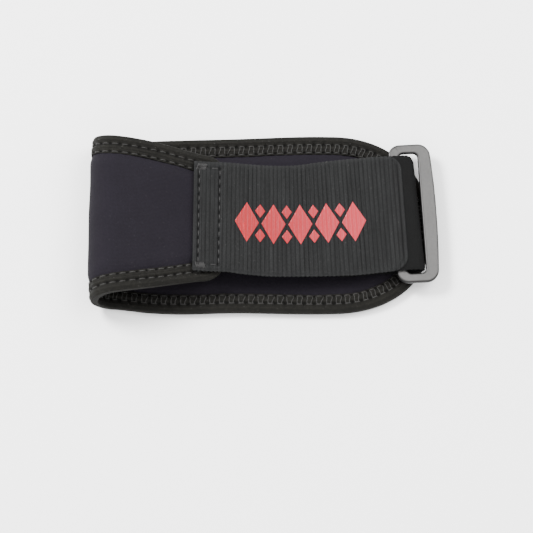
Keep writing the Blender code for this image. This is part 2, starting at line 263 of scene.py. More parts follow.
class LaidPanel:
    """The flat cut panel and the line that it is laid along."""

    SAMPLES = 700
    END_CUTS = 20
    CORNER_CUTS = 40
    SIDE_CUTS = 300
    TONGUE_CUTS = 160

    def __init__(self):
        floor = PANEL_WALL / 2
        top = FOLD_HEIGHT - PANEL_WALL / 2
        fold_x = CAD_LOW[0] + PANEL_WALL / 2 + FOLD_REACH
        self.fold_x = fold_x
        t = np.linspace(0.0, 1.0, self.SAMPLES)
        near_x = fold_x + NEAR_RUN * (1 - t)
        near_z = top - NEAR_DROP * smooth_step(1 - t)
        bend_x = fold_x - FOLD_REACH * np.sin(np.pi * t)
        bend_z = (top + floor) / 2 + (top - floor) / 2 * np.cos(np.pi * t)
        far_x = fold_x + (CAD_HIGH[0] - TIP_SETBACK - fold_x) * t
        self.x = np.concatenate([near_x, bend_x[1:], far_x[1:]])
        self.z = np.concatenate([near_z, bend_z[1:], np.full(self.SAMPLES - 1, floor)])
        self.run = np.concatenate([[0.0], np.cumsum(np.hypot(np.diff(self.x), np.diff(self.z)))])
        self.length = float(self.run[-1])
        self.fold_end = float(self.run[2 * self.SAMPLES - 2])
        self.normal_x = np.gradient(self.z, self.run)
        self.normal_z = -np.gradient(self.x, self.run)
        self.trace_outline()

    def half_width(self, along):
        return read_rows(PANEL_ROWS, "half", along / self.length) * BAND_WIDTH / 2

    def place(self, along, across, outward):
        """Lays points of the flat cut panel along the line, as an array of x, y and z."""
        along = np.asarray(along, float)
        nx = np.interp(along, self.run, self.normal_x)
        nz = np.interp(along, self.run, self.normal_z)
        size = np.hypot(nx, nz)
        share = along / self.length
        lean = np.radians(read_rows(PANEL_ROWS, "lean", share))
        x = np.interp(along, self.run, self.x)
        rounding = np.clip(np.abs(across) / self.half_width(along), 0.0, 1.0) ** CURL_POWER
        x = x + np.clip((self.fold_x - x) / FOLD_REACH, 0.0, 1.0) * (FOLD_EASE + FOLD_CURL * rounding)
        x = x + outward * nx / size - across * np.sin(lean)
        y = read_rows(PANEL_ROWS, "shift", share) * BAND_WIDTH + across * np.cos(lean)
        z = np.interp(along, self.run, self.z) + outward * nz / size
        return np.stack(np.broadcast_arrays(x, y, z), axis=-1)

    def trace_outline(self):
        """The panel's outline as a closed run of points with their inward directions."""
        corner = SQUARE_END_CORNER
        flat = float(self.half_width(corner)) - corner
        rows = [(0.0, flat * k / self.END_CUTS, 1.0, 0.0) for k in range(self.END_CUTS)]
        for turn in np.linspace(0.0, math.pi / 2, self.CORNER_CUTS):
            c, s = math.cos(turn), math.sin(turn)
            rows.append((corner * (1 - c), flat + corner * s, c, -s))
        base = self.length - TONGUE_LENGTH
        for along in np.linspace(corner, base, self.SIDE_CUTS)[1:-1]:
            rows.append((along, float(self.half_width(along)), 0.0, -1.0))
        half = float(self.half_width(base))
        power = TONGUE_FULLNESS
        for turn in np.linspace(0.0, math.pi / 2, self.TONGUE_CUTS):
            out = math.sin(turn) ** (2 / power)
            side = max(math.cos(turn), 0.0) ** (2 / power)
            facing = Vector((out ** (power - 1) / TONGUE_LENGTH, side ** (power - 1) / half)).normalized()
            rows.append((base + TONGUE_LENGTH * out, half * side, -facing.x, -facing.y))
        upper = np.array(rows)
        lower = upper[-2:0:-1] * np.array([1.0, -1.0, 1.0, -1.0])
        loop = np.concatenate([upper, lower, upper[:1]])
        steps = np.hypot(np.diff(loop[:, 0]), np.diff(loop[:, 1]))
        self.edge_run = np.concatenate([[0.0], np.cumsum(steps)])
        self.edge = loop
        self.edge_length = float(self.edge_run[-1])

    def edge_flat(self, around, inset):
        """Flat pattern points at distances round the edge and inward from it."""
        around = np.mod(around, self.edge_length)
        a, b, na, nb = (np.interp(around, self.edge_run, self.edge[:, k]) for k in range(4))
        size = np.hypot(na, nb)
        return a + na / size * inset, b + nb / size * inset

    def edge_place(self, around, inset, outward):
        a, b = self.edge_flat(around, inset)
        return self.place(a, b, outward)


PANEL = LaidPanel()


class RingPlace:
    """Where the ring lies: the middle of its held bar, and its directions."""

    def __init__(self):
        self.half_length = STRAP_WIDTH / 2 + RING_PLAY
        self.along = np.array([math.cos(RING_TURN), math.sin(RING_TURN), 0.0])
        self.across = np.array([-math.sin(RING_TURN), math.cos(RING_TURN), 0.0])
        self.slope = self.along * math.cos(RING_DROOP) + np.array([0.0, 0.0, -math.sin(RING_DROOP)])
        self.up = np.cross(self.slope, self.across)
        self.half_height = RING_THICKNESS / 2 + HELD_BAR / 2 * math.sin(RING_DROOP)
        height = PANEL_WALL + GAP + STRAP_WALL + GAP + self.half_height
        outline = self.outer_outline()
        reach = max(self.slope[0] * p + self.across[0] * q for p, q in outline)
        self.centre = np.array([CAD_HIGH[0] - reach, RING_SHIFT, height])

    def outer_outline(self):
        right = HELD_BAR / 2 + RING_OPENING + FREE_BAR
        half = self.half_length + END_BAR
        return self.outline(-HELD_BAR / 2, right, half, RING_OUTER_CORNER, FREE_BAR_BOW)

    def inner_outline(self):
        left = HELD_BAR / 2
        return self.outline(left, left + RING_OPENING, self.half_length, RING_INNER_CORNER, 0.0)

    def outline(self, left, right, half, corner, bow, cuts=14):
        """A rectangle with round corners whose right side bows outward."""
        points = []
        corners = [(right, half, -1, -1, 0), (left, half, 1, -1, 90)]
        corners += [(left, -half, 1, 1, 180), (right, -half, -1, 1, 270)]
        for p, q, to_p, to_q, start in corners:
            for k in range(cuts + 1):
                turn = math.radians(start + 90 * k / cuts)
                points.append((p + corner * (to_p + math.cos(turn)), q + corner * (to_q + math.sin(turn))))
        for k in range(1, 2 * cuts):
            points.append((right, (half - corner) * (k / cuts - 1)))
        points = np.array(points)
        share = (points[:, 0] - left) / (right - left)
        points[:, 0] += bow * share ** 4 * (1 - (points[:, 1] / half) ** 2)
        return points


RING = RingPlace()


class StrapRun:
    """The strap's centre line from its sewn end over the ring's bar and back below."""

    STEP = 0.00012
    LAP_CUTS = 160
    FREE_CUTS = 500
    BAR_CUTS = 20
    TURN_CUTS = 120
    RETURN_CUTS = 240

    def __init__(self):
        path = self.trace_path()
        bar_x = RING.centre[0]
        run = np.concatenate([[0.0], np.cumsum(np.hypot(*np.diff(path, axis=0).T))])
        self.length = float(run[-1])
        self.run = np.linspace(0.0, self.length, int(self.length / self.STEP))
        x = np.interp(self.run, run, path[:, 0])
        z = self.eased(np.interp(self.run, run, path[:, 1]))
        share = (x - path[0, 0]) / (bar_x - path[0, 0])
        y = read_rows(STRAP_ROWS, "shift", share) * RING_SHIFT
        y += np.where(share > 1.0, (x - bar_x) * math.tan(RING_TURN), 0.0)
        turned = np.clip((x - bar_x - TURN_START) / TURN_REACH, 0.0, 1.0)
        pinch = TURN_PINCH / 2 * turned ** 3
        self.centre = np.stack([x, y - pinch, z], axis=1)
        lean = np.radians(read_rows(STRAP_ROWS, "lean", share) + TURN_LEAN * turned ** 2)
        self.cross = np.stack([-np.sin(lean), np.cos(lean), np.zeros_like(lean)], axis=1)
        up = np.cross(np.gradient(self.centre, axis=0), self.cross)
        self.up = up / np.linalg.norm(up, axis=1, keepdims=True)
        self.half = read_rows(STRAP_ROWS, "width", share) * STRAP_WIDTH / 2 - pinch
        self.bar_run = float(self.run[np.argmax(x >= bar_x)])
        self.webbing_end = self.bar_run + WEBBING_PAST_BAR

    def trace_path(self):
        """The line seen from its edge, as x and z: sewn lap, free span, turn and return."""
        lift = PANEL_WALL / 2 + GAP + STRAP_WALL / 2
        upper = RING.half_height + GAP + STRAP_WALL / 2
        bar_x, _, bar_z = RING.centre
        lap = PANEL.place(np.linspace(SEWN_LAP, 0.0, self.LAP_CUTS), 0.0, lift)[:, [0, 2]]
        end_x, end_z = lap[-1]
        over_bar = bar_z + upper
        t = np.linspace(0.0, 1.0, self.FREE_CUTS)[1:]
        free = np.stack([end_x + (bar_x - end_x) * t, over_bar + (end_z - over_bar) * (1 - t) ** 2], axis=1)
        ahead = np.linspace(bar_x, bar_x + TURN_START, self.BAR_CUTS)[1:-1]
        flat = np.stack([ahead, np.full_like(ahead, over_bar)], axis=1)
        turn = np.linspace(0.0, math.pi, self.TURN_CUTS)
        bend_x = bar_x + TURN_START + TURN_REACH * np.sin(turn)
        bend = np.stack([bend_x, bar_z + upper * np.cos(turn)], axis=1)
        back = np.linspace(-TURN_START, RETURN_LENGTH - RETURN_TRIM, self.RETURN_CUTS)[1:]
        under_x = bar_x - back
        run_z = over_bar + (end_z - over_bar) * (1 - (under_x - end_x) / (bar_x - end_x)) ** 2
        run_z = np.where(back < 0, over_bar, run_z)
        low = bar_z - upper
        rise = smooth_step((back - RETURN_RISE_START) / (RETURN_RISE_END - RETURN_RISE_START))
        under = np.stack([under_x, low + (run_z - STRAP_WALL - GAP - low) * rise], axis=1)
        return np.concatenate([lap, free, flat, bend, under])

    def eased(self, z, reach=14):
        """Rounds off the small kink where the strap leaves the panel."""
        weights = np.hanning(2 * reach + 1)
        padded = np.pad(z, reach, mode="edge")
        return np.convolve(padded, weights / weights.sum(), mode="valid")

    def read(self, rows, along):
        return np.stack([np.interp(along, self.run, rows[:, k]) for k in range(3)], axis=-1)

    def half_at(self, along):
        return np.interp(along, self.run, self.half)

    def run_at(self, x):
        """Distance along the strap's top run at a place in the frame."""
        top = self.run < self.bar_run
        return float(np.interp(x, self.centre[top, 0], self.run[top]))

    def place(self, along, across, outward):
        """Points on the strap by distance along it, across it and out of its face."""
        along, across, outward = np.broadcast_arrays(along, across, outward)
        centre = self.read(self.centre, along)
        cross = self.read(self.cross, along)
        up = self.read(self.up, along)
        return centre + cross * across[..., None] + up * outward[..., None]


STRAP = StrapRun()


def grid_faces(rows, columns):
    """Quads of a grid of points, with its last column joined to its first."""
    r, c = np.meshgrid(np.arange(rows - 1), np.arange(columns), indexing="ij")
    ahead = (c + 1) % columns
    quads = [r * columns + c, r * columns + ahead, (r + 1) * columns + ahead, (r + 1) * columns + c]
    return np.stack([np.ravel(q) for q in quads], axis=1)


def end_faces(columns, start):
    """Quads that close a section whose first half faces its second half."""
    half = columns // 2
    j = np.arange(half - 1)
    return start + np.stack([j, j + 1, columns - 2 - j, columns - 1 - j], axis=1)


def seam_faces(rows, columns):
    """Quads that join the last row of a grid back to its first."""
    c = np.arange(columns)
    ahead = (c + 1) % columns
    last = (rows - 1) * columns
    return np.stack([last + c, last + ahead, ahead, c], axis=1)


def loop_faces(rows, columns):
    """Quads of a section carried all the way round a loop."""
    return np.concatenate([grid_faces(rows, columns), seam_faces(rows, columns)])


def skin_faces(rows, columns):
    """Quads of a closed skin whose sections each hold a front and a back."""
    ends = [end_faces(columns, 0), end_faces(columns, (rows - 1) * columns)]
    return np.concatenate([grid_faces(rows, columns), *ends])


def two_sided(front, back):
    """Sections that run out along the front and home along the back."""
    return np.concatenate([front, back[:, ::-1]], axis=1)


def linked(name, data):
    """A new object in the scene."""
    made = bpy.data.objects.new(name, data)
    bpy.context.scene.collection.objects.link(made)
    return made


def add_piece(name, points, faces, flat, material, sharp=math.radians(50)):
    """A mesh object on the one body, with its flat pattern as a map in metres."""
    points = np.reshape(points, (-1, 3))
    flat = np.reshape(flat, (-1, 2))
    mesh = bpy.data.meshes.new(name)
    mesh.from_pydata(points.tolist(), [], [tuple(face) for face in faces])
    layer = mesh.uv_layers.new(name="cloth")
    corners = np.empty(len(mesh.loops), dtype=np.int32)
    mesh.loops.foreach_get("vertex_index", corners)
    layer.data.foreach_set("uv", flat[corners].astype(np.float32).ravel())
    face_mesh = bmesh.new()
    face_mesh.from_mesh(mesh)
    bmesh.ops.recalc_face_normals(face_mesh, faces=face_mesh.faces)
    if face_mesh.calc_volume(signed=True) < 0:
        bmesh.ops.reverse_faces(face_mesh, faces=face_mesh.faces)
    for edge in face_mesh.edges:
        edge.smooth = edge.calc_face_angle(0.0) < sharp
    for face in face_mesh.faces:
        face.smooth = True
    face_mesh.to_mesh(mesh)
    face_mesh.free()
    mesh.materials.append(material)
    piece = linked(name, mesh)
    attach(piece, "root")
    return piece


def inset_of(a, b, chunk=400):
    """How far points of the flat pattern lie inside the panel's edge."""
    flat = np.stack([np.ravel(a), np.ravel(b)], axis=1)
    rim = PANEL.edge[::2, :2]
    far = np.empty(len(flat))
    for i in range(0, len(flat), chunk):
        gap = flat[i : i + chunk, None, :] - rim[None, :, :]
        far[i : i + chunk] = np.sqrt((gap ** 2).sum(axis=2).min(axis=1))
    return far.reshape(np.shape(a))


def panel_half(along):
    """Half the cut width at any station, with the square end's corners and the tongue."""
    along = np.asarray(along, float)
    corner = SQUARE_END_CORNER
    flat = float(PANEL.half_width(corner)) - corner
    square = flat + np.sqrt(np.maximum(corner ** 2 - (corner - np.minimum(along, corner)) ** 2, 0.0))
    base = PANEL.length - TONGUE_LENGTH
    share = np.clip((along - base) / TONGUE_LENGTH, 0.0, 1.0)
    tongue = float(PANEL.half_width(base)) * (1 - share ** TONGUE_FULLNESS) ** (1 / TONGUE_FULLNESS)
    return np.where(along < corner, square, np.where(along > base, tongue, PANEL.half_width(along)))


def body_thickness(inset, pinch):
    """Half the neoprene's thickness: pressed under the tape and pinched beside it."""
    under = BINDING_WIDTH - TAPE_COVER
    beside = PANEL_WALL / 2 - pinch
    rise = smooth_step((inset - under) / PRESS_RISE)
    swell = smooth_step((inset - under - TAPE_COVER) / SWELL_REACH)
    return PRESSED_HALF + (beside - PRESSED_HALF) * rise + pinch * swell


def panel_wave(a, b, inset, cloth):
    """The panel's slow unevenness, outer and inner: it fades by the tape, under the strap and, outside,
    toward the floor."""
    fade = 9 * MM
    floor_start = PANEL.fold_end - 4 * MM
    lap_fade = 6 * MM
    clear_of_tape = smooth_step((inset - BINDING_WIDTH) / fade)
    wave = slow_waves(a, b, BODY_WAVES, BODY_SEED) * cloth.unevenness * clear_of_tape
    on_floor = smooth_step((a - floor_start) / fade)
    under_lap = smooth_step((SEWN_LAP + lap_fade - a) / lap_fade)
    outer = np.where(a < PANEL.fold_end, wave, 0) * (1 - on_floor) * (1 - under_lap)
    return outer, wave * (1 - under_lap)


def make_body(cloth):
    """The neoprene panel: one soft closed skin, pinched beside its sewn edge."""
    rows = 185
    columns = 58
    row_crowding = 0.25
    even = np.linspace(0, 1, rows)
    spread = 0.5 - 0.5 * np.cos(np.pi * even)
    share = (1 - row_crowding) * even + row_crowding * spread
    along = BODY_EDGE_GAP + (PANEL.length - 2 * BODY_EDGE_GAP) * share
    half = np.maximum(panel_half(along) - BODY_EDGE_GAP, BODY_NARROWEST)
    a = np.repeat(along[:, None], columns, axis=1)
    b = half[:, None] * crowded(columns, 1.25)[None, :]
    inset = inset_of(a, b)
    thick = body_thickness(inset, cloth.pinch)
    outer_wave, inner_wave = panel_wave(a, b, inset, cloth)
    points = two_sided(PANEL.place(a, b, thick + outer_wave), PANEL.place(a, b, inner_wave - thick))
    flat = np.stack([a, b], axis=-1)
    faces = skin_faces(rows, 2 * columns)
    material = jersey_material(cloth)
    body = add_piece("neoprene_sheet", points, faces, two_sided(flat, flat), material)
    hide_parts("neoprene_body")


def edge_pitch(tape):
    """How many stitches go round the edge, and the length of each."""
    count = round(PANEL.edge_length / tape.stitch)
    return count, PANEL.edge_length / count


def hole_distance(run, pitch):
    """Distance from the nearest needle hole, along a seam."""
    place = np.mod(run, pitch)
    return np.minimum(place, pitch - place)


def tape_relief(around, inset, tape):
    """How deep the tape lies below its crests: sewn rows, needle holes, long ridges and puckers."""
    hole = hole_distance(around, edge_pitch(tape)[1])
    depth = np.zeros(np.shape(around))
    for row in NEEDLE_ROWS:
        depth = depth + tape.channel * dent(inset - row, CHANNEL_WIDTH)
        depth = depth + tape.hole * dent(inset - row, HOLE_WIDTH) * dent(hole, HOLE_LENGTH)
    ridge = 0.5 - 0.5 * np.cos(2 * np.pi * inset / tape.ridge_pitch)
    depth = depth + tape.ridge * ridge * smooth_step((RIDGES_END - inset) / RIDGES_FADE)
    pucker = 0.5 + 0.5 * np.cos(np.pi * hole / (tape.stitch / 2))
    return depth + tape.pucker * pucker * smooth_step((inset - PUCKER_START) / PUCKER_FADE)


def tape_section():
    """The folded tape's section, its outer skin first: insets, heights and how many are skin."""
    face_cuts = 19
    out = PANEL_WALL / 2
    flat_in = np.linspace(BINDING_WIDTH - LIP_REACH, TAPE_EDGE_ROUND, face_cuts)
    face = np.concatenate([BINDING_WIDTH - np.array(LIP_INSETS), flat_in])
    lift = np.concatenate([out - np.array(LIP_DROPS), np.full(face_cuts, out)])
    turn = np.linspace(0, math.pi / 2, 6)[1:]
    rim_in = TAPE_EDGE_ROUND * (1 - np.sin(turn))
    rim_out = out - TAPE_EDGE_ROUND + TAPE_EDGE_ROUND * np.cos(turn)
    half_in = np.concatenate([face, rim_in])
    half_out = np.concatenate([lift, rim_out])
    inside = PRESSED_HALF + GAP
    hem = BINDING_WIDTH - TAPE_HEM
    hollow_in = np.array([BINDING_WIDTH, hem, TAPE_CLOTH + TAPE_HOLLOW_TAPER, TAPE_CLOTH])
    hollow_out = np.array([inside + LIP_DROPS[1], inside, inside, TAPE_HOLLOW_END * inside])
    insets = np.concatenate([half_in, half_in[::-1], hollow_in, hollow_in[::-1]])
    heights = np.concatenate([half_out, -half_out[::-1], -hollow_out, hollow_out[::-1]])
    return insets, heights, 2 * len(half_in)


def make_binding(tape):
    """The folded tape round the whole edge, a thin closed C with two sewn channels."""
    rows = 1500
    section_in, section_out, skin = tape_section()
    columns = len(section_in)
    around = np.linspace(0, PANEL.edge_length, rows, endpoint=False)
    run = np.repeat(around[:, None], columns, axis=1)
    inset = np.repeat(section_in[None, :], rows, axis=0)
    facing = np.zeros(columns)
    facing[:skin] = np.sign(section_out[:skin])
    outward = section_out[None, :] - facing * tape_relief(run, inset, tape)
    wander = slow_waves(run[:, :1], np.zeros_like(run[:, :1]), TAPE_WAVES, TAPE_SEED) * tape.wander
    lip = smooth_step((inset - WANDER_START) / WANDER_FADE)
    fuller = tape.fullness * smooth_step((FULLNESS_REACH - inset) / FULLNESS_FADE)
    points = PANEL.edge_place(run, inset + wander * lip - fuller, outward)
    flat_out = np.cumsum(np.concatenate([[0], np.hypot(np.diff(section_in), np.diff(section_out))]))
    flat = np.stack([run, np.repeat(flat_out[None, :], rows, axis=0)], axis=-1)
    material = tape_material(tape)
    piece = add_piece("edge_tape", points, loop_faces(rows, columns), flat, material)
    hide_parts("binding")


def rib_height(along, across, half, strap):
    """Crosswise ribs of the webbing, with a fine groove in each and plain selvedges."""
    phase = np.mod(along / strap.rib_pitch, 1.0)
    ridge = np.abs(np.sin(np.pi * phase)) ** RIB_POWER
    groove = GROOVE_DEPTH * dent(phase - 0.5, GROOVE_WIDTH)
    inside = smooth_step((half - np.abs(across) - SELVEDGE) / SELVEDGE_FADE)
    return strap.rib_height * (ridge - groove - 0.5) * inside


def seam_pitch(strap):
    """The box stitch's length, so that whole stitches fill a crosswise row."""
    return 2 * SEAM_ACROSS / round(2 * SEAM_ACROSS / strap.stitch)


def past_webbing(along, across, half):
    """How far points lie beyond the webbing's round-cornered end, where the pile tape turns."""
    corner = WEBBING_CORNER
    into = np.maximum(np.abs(across) - half + corner, 0.0)
    return along - STRAP.webbing_end + corner - np.sqrt(np.maximum(corner ** 2 - into ** 2, 0.0))


def strap_surface(along, across, strap):
    """Outward height of the strap's top face: ribs, sewn channels and the pile tape's step."""
    half = STRAP.half_at(along)
    height = STRAP_WALL / 2 + rib_height(along, across, half, strap)
    beyond = past_webbing(along, across, half)
    pile = smooth_step((beyond + PILE_START) / PILE_STEP)
    height = height * (1 - pile) + (STRAP_WALL / 2 - strap.end_step) * pile
    height = height - TUCK_DEPTH * dent(beyond + TUCK_BACK, TUCK_WIDTH)
    height = height - SELVEDGE_DROP * smooth_step((np.abs(across) - half + SELVEDGE_WIDTH) / SELVEDGE_WIDTH)
    on_lap = smooth_step((SEAM_ROWS[1] + SEAM_FADE - along) / SEAM_FADE)
    between = smooth_step((SEAM_ACROSS + SEAM_FADE - np.abs(across)) / SEAM_FADE)
    side_row = dent(np.abs(across) - SEAM_ACROSS, SIDE_SEAM_WIDTH) * on_lap
    end_rows = sum(dent(along - row, SEAM_WIDTH) for row in SEAM_ROWS) * between
    hole = hole_distance(across + SEAM_ACROSS, seam_pitch(strap))
    holes = SEAM_HOLE_DEPTH * np.clip(dent(hole, SEAM_HOLE_LENGTH) * end_rows, 0, 1)
    return height - strap.seam_depth * (np.clip(side_row + end_rows, 0, 1) + holes)


def strap_sag(along, across, strap):
    """The strap's slow unevenness, nothing at its sewn end and where it bears on the ring."""
    end_fade = 12 * MM
    bar_clear = 7 * MM
    bar_fade = 10 * MM
    free = smooth_step(along / end_fade)
    free = free * smooth_step((STRAP.bar_run - bar_clear - along) / bar_fade)
    return free * strap.sag * slow_waves(along, across, STRAP_WAVES, STRAP_SEED)


def make_strap(strap):
    """The elastic webbing: sewn end, free span, turn round the ring's bar and return."""
    step = 0.21 * MM
    rows = int(STRAP.length / step)
    columns = 59
    back_share = 0.97
    along = np.linspace(0, STRAP.length, rows)
    t = crowded(columns, 1.15)
    a = np.repeat(along[:, None], columns, axis=1)
    b = STRAP.half_at(along)[:, None] * t[None, :]
    loops = np.abs(np.sin(np.pi * a / strap.rib_pitch))
    scalloped = b + strap.scallop * loops * np.sign(t) * np.abs(t) ** SCALLOP_POWER
    top = strap_surface(a, b, strap)
    sag = strap_sag(a, b, strap)
    low = -np.abs(top) * back_share
    points = two_sided(STRAP.place(a, scalloped, top + sag), STRAP.place(a, scalloped, low + sag))
    flat = np.stack([a, b], axis=-1)
    faces = skin_faces(rows, 2 * columns)
    material = webbing_material(strap)
    piece = add_piece("elastic_strap", points, faces, two_sided(flat, flat), material)
    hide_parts("strap")


def make_ring(metal):
    """The pressed ring: a flat loop with rolled edges and a slightly bowed free bar."""
    outer = RING.outer_outline()
    across = RING.inner_outline() - outer
    wide = np.linalg.norm(across, axis=1, keepdims=True)
    half = RING_THICKNESS / 2
    roll = metal.edge_round
    flat_start = 1.1 * MM
    turn = np.linspace(0, math.pi / 2, 6)
    near_rim = [(roll * (1 - math.cos(angle)), half - roll + roll * math.sin(angle)) for angle in turn]
    near_rim.append((flat_start, half + metal.crown))
    top = [(step, height, 0.0) for step, height in near_rim]
    top += [(-step, height, 1.0) for step, height in near_rim[::-1]]
    section = np.array(top + [(step, -height, side) for step, height, side in top[::-1]])
    rows = []
    for step, height, side in section:
        place = outer + across * side + across / wide * step
        rows.append(np.concatenate([place, np.full((len(place), 1), height)], axis=1))
    local = np.stack(rows, axis=1)
    from_rim = np.abs(section[:, 0])
    around = np.concatenate([[0.0], np.cumsum(np.linalg.norm(np.diff(outer, axis=0), axis=1))])
    flat = np.stack(np.meshgrid(around, from_rim, indexing="ij"), axis=-1)
    points = RING.centre + local @ np.stack([RING.slope, RING.across, RING.up])
    faces = loop_faces(*points.shape[:2])
    piece = add_piece("ring_frame", points, faces, flat, ring_material(metal))
    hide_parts("ring")


def tubes(paths, radius, sides):
    """Points, faces and a map for threads: each path becomes a closed tube with narrowed ends."""
    points, faces, flat = [], [], []
    start = 0
    end_taper = 0.45
    askew = np.array([0.31, 0.17, 0.93])
    turn = np.linspace(0, 2 * math.pi, sides, endpoint=False)
    for path in paths:
        ahead = np.gradient(path, axis=0)
        ahead /= np.linalg.norm(ahead, axis=1, keepdims=True)
        side = np.cross(ahead, askew)
        side /= np.linalg.norm(side, axis=1, keepdims=True)
        up = np.cross(side, ahead)
        run = np.concatenate([[0], np.cumsum(np.linalg.norm(np.diff(path, axis=0), axis=1))])
        taper = np.ones(len(path))
        taper[0] = taper[-1] = end_taper
        ring = side[:, None] * np.cos(turn)[None, :, None] + up[:, None] * np.sin(turn)[None, :, None]
        points.append((path[:, None] + ring * (radius * taper)[:, None, None]).reshape(-1, 3))
        around = np.broadcast_to(turn / (2 * math.pi), (len(path), sides))
        flat.append(np.stack([np.repeat(run[:, None], sides, axis=1), around], axis=-1).reshape(-1, 2))
        count = len(path) * sides
        faces += (grid_faces(len(path), sides) + start).tolist()
        faces.append(list(range(start, start + sides)))
        faces.append(list(range(start + count - sides, start + count)))
        start += count
    return np.concatenate(points), faces, np.concatenate(flat)


def stitch_arch(t, thread, sink, rise):
    """A stitch's height above the cloth in thread radii: both ends sunk and its middle proud."""
    return thread.diameter / 2 * (rise * np.sin(np.pi * t) ** 0.5 - sink)


def tape_place(around, inset, face, above, tape):
    """Points on the tape's outer or inner face, a little above its sewn relief."""
    relief = tape_relief(around, inset, tape)
    return PANEL.edge_place(around, inset, face * (PANEL_WALL / 2 - relief + above))


def edge_stitches(tape, thread):
    """Paths of the needle threads, in two rows along both faces of the tape."""
    count, pitch = edge_pitch(tape)
    hole_gap = 0.14
    t = np.linspace(0, 1, 8)
    above = stitch_arch(t, thread, sink=1.4, rise=1.9)
    paths = []
    for k in range(count):
        around = pitch * (k + hole_gap + (1 - 2 * hole_gap) * t)
        for row in NEEDLE_ROWS:
            for face in (1, -1):
                paths.append(tape_place(around, np.full_like(t, row), face, above, tape))
    return paths


def cover_loops(tape, thread):
    """The looped thread that crosses between the needle rows, on the wrap's inner face."""
    count, pitch = edge_pitch(tape)
    count *= 2
    lean, lean_swing = 0.14, 0.34
    drift, sway = 0.10, 0.05
    overrun = 0.15 * MM
    sink, rise, roundness = 0.15, 0.75, 0.6
    jitter_step = 0.7
    far, near = NEEDLE_ROWS
    t = np.linspace(0, 1, 9)
    inset = far - overrun + (near - far + 2 * overrun) * t
    above = thread.diameter / 2 * (rise * np.sin(np.pi * t) ** roundness - sink)
    jitter = slow_waves(np.arange(count) * jitter_step, np.zeros(count), 1.0, LOOP_SEED)
    paths = []
    for k in range(count):
        slope = (lean if k % 2 else -lean) + lean_swing * jitter[k]
        middle = pitch * (0.5 * k + 0.25 + drift * jitter[k])
        around = middle + slope * pitch * (t - 0.5) + sway * pitch * np.sin(2 * np.pi * t)
        paths.append(tape_place(around, inset, -1, above, tape))
    return paths


def seam_run(corners, stitch):
    """Even stitches along a run of straight lines on the strap's pattern."""
    hole_gap = 0.15
    runs = []
    for start, end in zip(corners[:-1], corners[1:]):
        start, end = np.array(start), np.array(end)
        count = max(1, round(float(np.linalg.norm(end - start)) / stitch))
        step = (end - start) / count
        for k in range(count):
            runs.append((start + step * (k + hole_gap), start + step * (k + 1 - hole_gap)))
    return runs


def bar_tack(side):
    """Close slanting stitches over an outer corner of the sewn lap."""
    count = 7
    first = 0.9 * MM
    pitch = 0.55 * MM
    slant = 1.0 * MM
    inner = SEAM_ACROSS - 0.9 * MM
    outer = SEAM_ACROSS + 1.9 * MM
    places = [first + k * pitch for k in range(count)]
    return [(np.array([a, side * inner]), np.array([a + slant, side * outer])) for a in places]


def strap_stitches(strap, thread):
    """Paths of the box stitch that holds the strap, and of a bar tack at each outer corner."""
    first, last = SEAM_ROWS
    wide = SEAM_ACROSS
    box = [(first, -wide), (first, wide), (last, wide), (last, -wide), (first, -wide)]
    runs = seam_run(box, seam_pitch(strap)) + bar_tack(-1) + bar_tack(1)
    t = np.linspace(0, 1, 8)
    above = stitch_arch(t, thread, sink=1.2, rise=2.0)
    paths = []
    for start, end in runs:
        a, b = (start + (end - start) * t[:, None]).T
        paths.append(STRAP.place(a, b, strap_surface(a, b, strap) + above))
    return paths


def make_stitches(tape, strap, thread):
    """All the sewing thread, as two pieces of short closed tubes."""
    strap_radius = 0.60 * thread.diameter
    paths = edge_stitches(tape, thread) + cover_loops(tape, thread)
    points, faces, flat = tubes(paths, thread.diameter / 2, 6)
    material = thread_material("Edge Thread", thread.edge_colour)
    add_piece("edge_stitches", points, faces, flat, material)
    points, faces, flat = tubes(strap_stitches(strap, thread), strap_radius, 8)
    material = thread_material("Strap Thread", thread.strap_colour)
    add_piece("strap_stitches", points, faces, flat, material)


def lozenge_film(centre_a, centre_b, half_a, half_b, strap, film):
    """One printed lozenge as a thin closed skin that follows the ribs."""
    step = 0.19 * MM
    rows = 2 * int(half_a / step) + 1
    columns = 15
    blunt = 0.985
    rib_share = 0.72
    smooth = STRAP_WALL / 2 + 0.2 * strap.rib_height
    soft_edge = 0.35 * MM
    edge_share = 0.45
    sunk = 0.03 * MM
    shares = np.linspace(-1, 1, rows) * blunt
    wide = half_b * (1 - np.abs(shares))
    t = np.linspace(-1, 1, columns)
    a = np.repeat((centre_a + shares * half_a)[:, None], columns, axis=1)
    b = centre_b + wide[:, None] * t[None, :]
    ribs = strap_surface(a, b, strap)
    sag = strap_sag(a, b, strap)
    bridged = ribs * rib_share + smooth * (1 - rib_share)
    edge = np.minimum(wide[:, None] * (1 - np.abs(t))[None, :], half_a * (1 - np.abs(shares))[:, None])
    thick = film.thickness * (edge_share + (1 - edge_share) * smooth_step(edge / soft_edge))
    points = two_sided(STRAP.place(a, b, bridged + sag + thick), STRAP.place(a, b, ribs + sag - sunk))
    flat = np.stack([a, b], axis=-1)
    return points, two_sided(flat, flat)


def lozenge_row(film):
    """Centres and half lengths of the printed lozenges, along and across the strap."""
    first = STRAP.run_at(film.left)
    last = STRAP.run_at(film.right)
    pitch = (last - first) / film.count
    aside = 0.31 * film.height
    small_height = 0.17 * film.height
    for k in range(film.count):
        shapes = [(k + 0.5, 0.0, film.large_half * pitch, film.height / 2)]
        if k < film.count - 1:
            shapes += [(k + 1.0, side * aside, film.small_half * pitch, small_height) for side in (-1, 1)]
        for place, offset, half_a, half_b in shapes:
            share = place / film.count
            across = film.rise * (1 - share) + film.fall * share + offset
            yield first + place * pitch, across, half_a, half_b


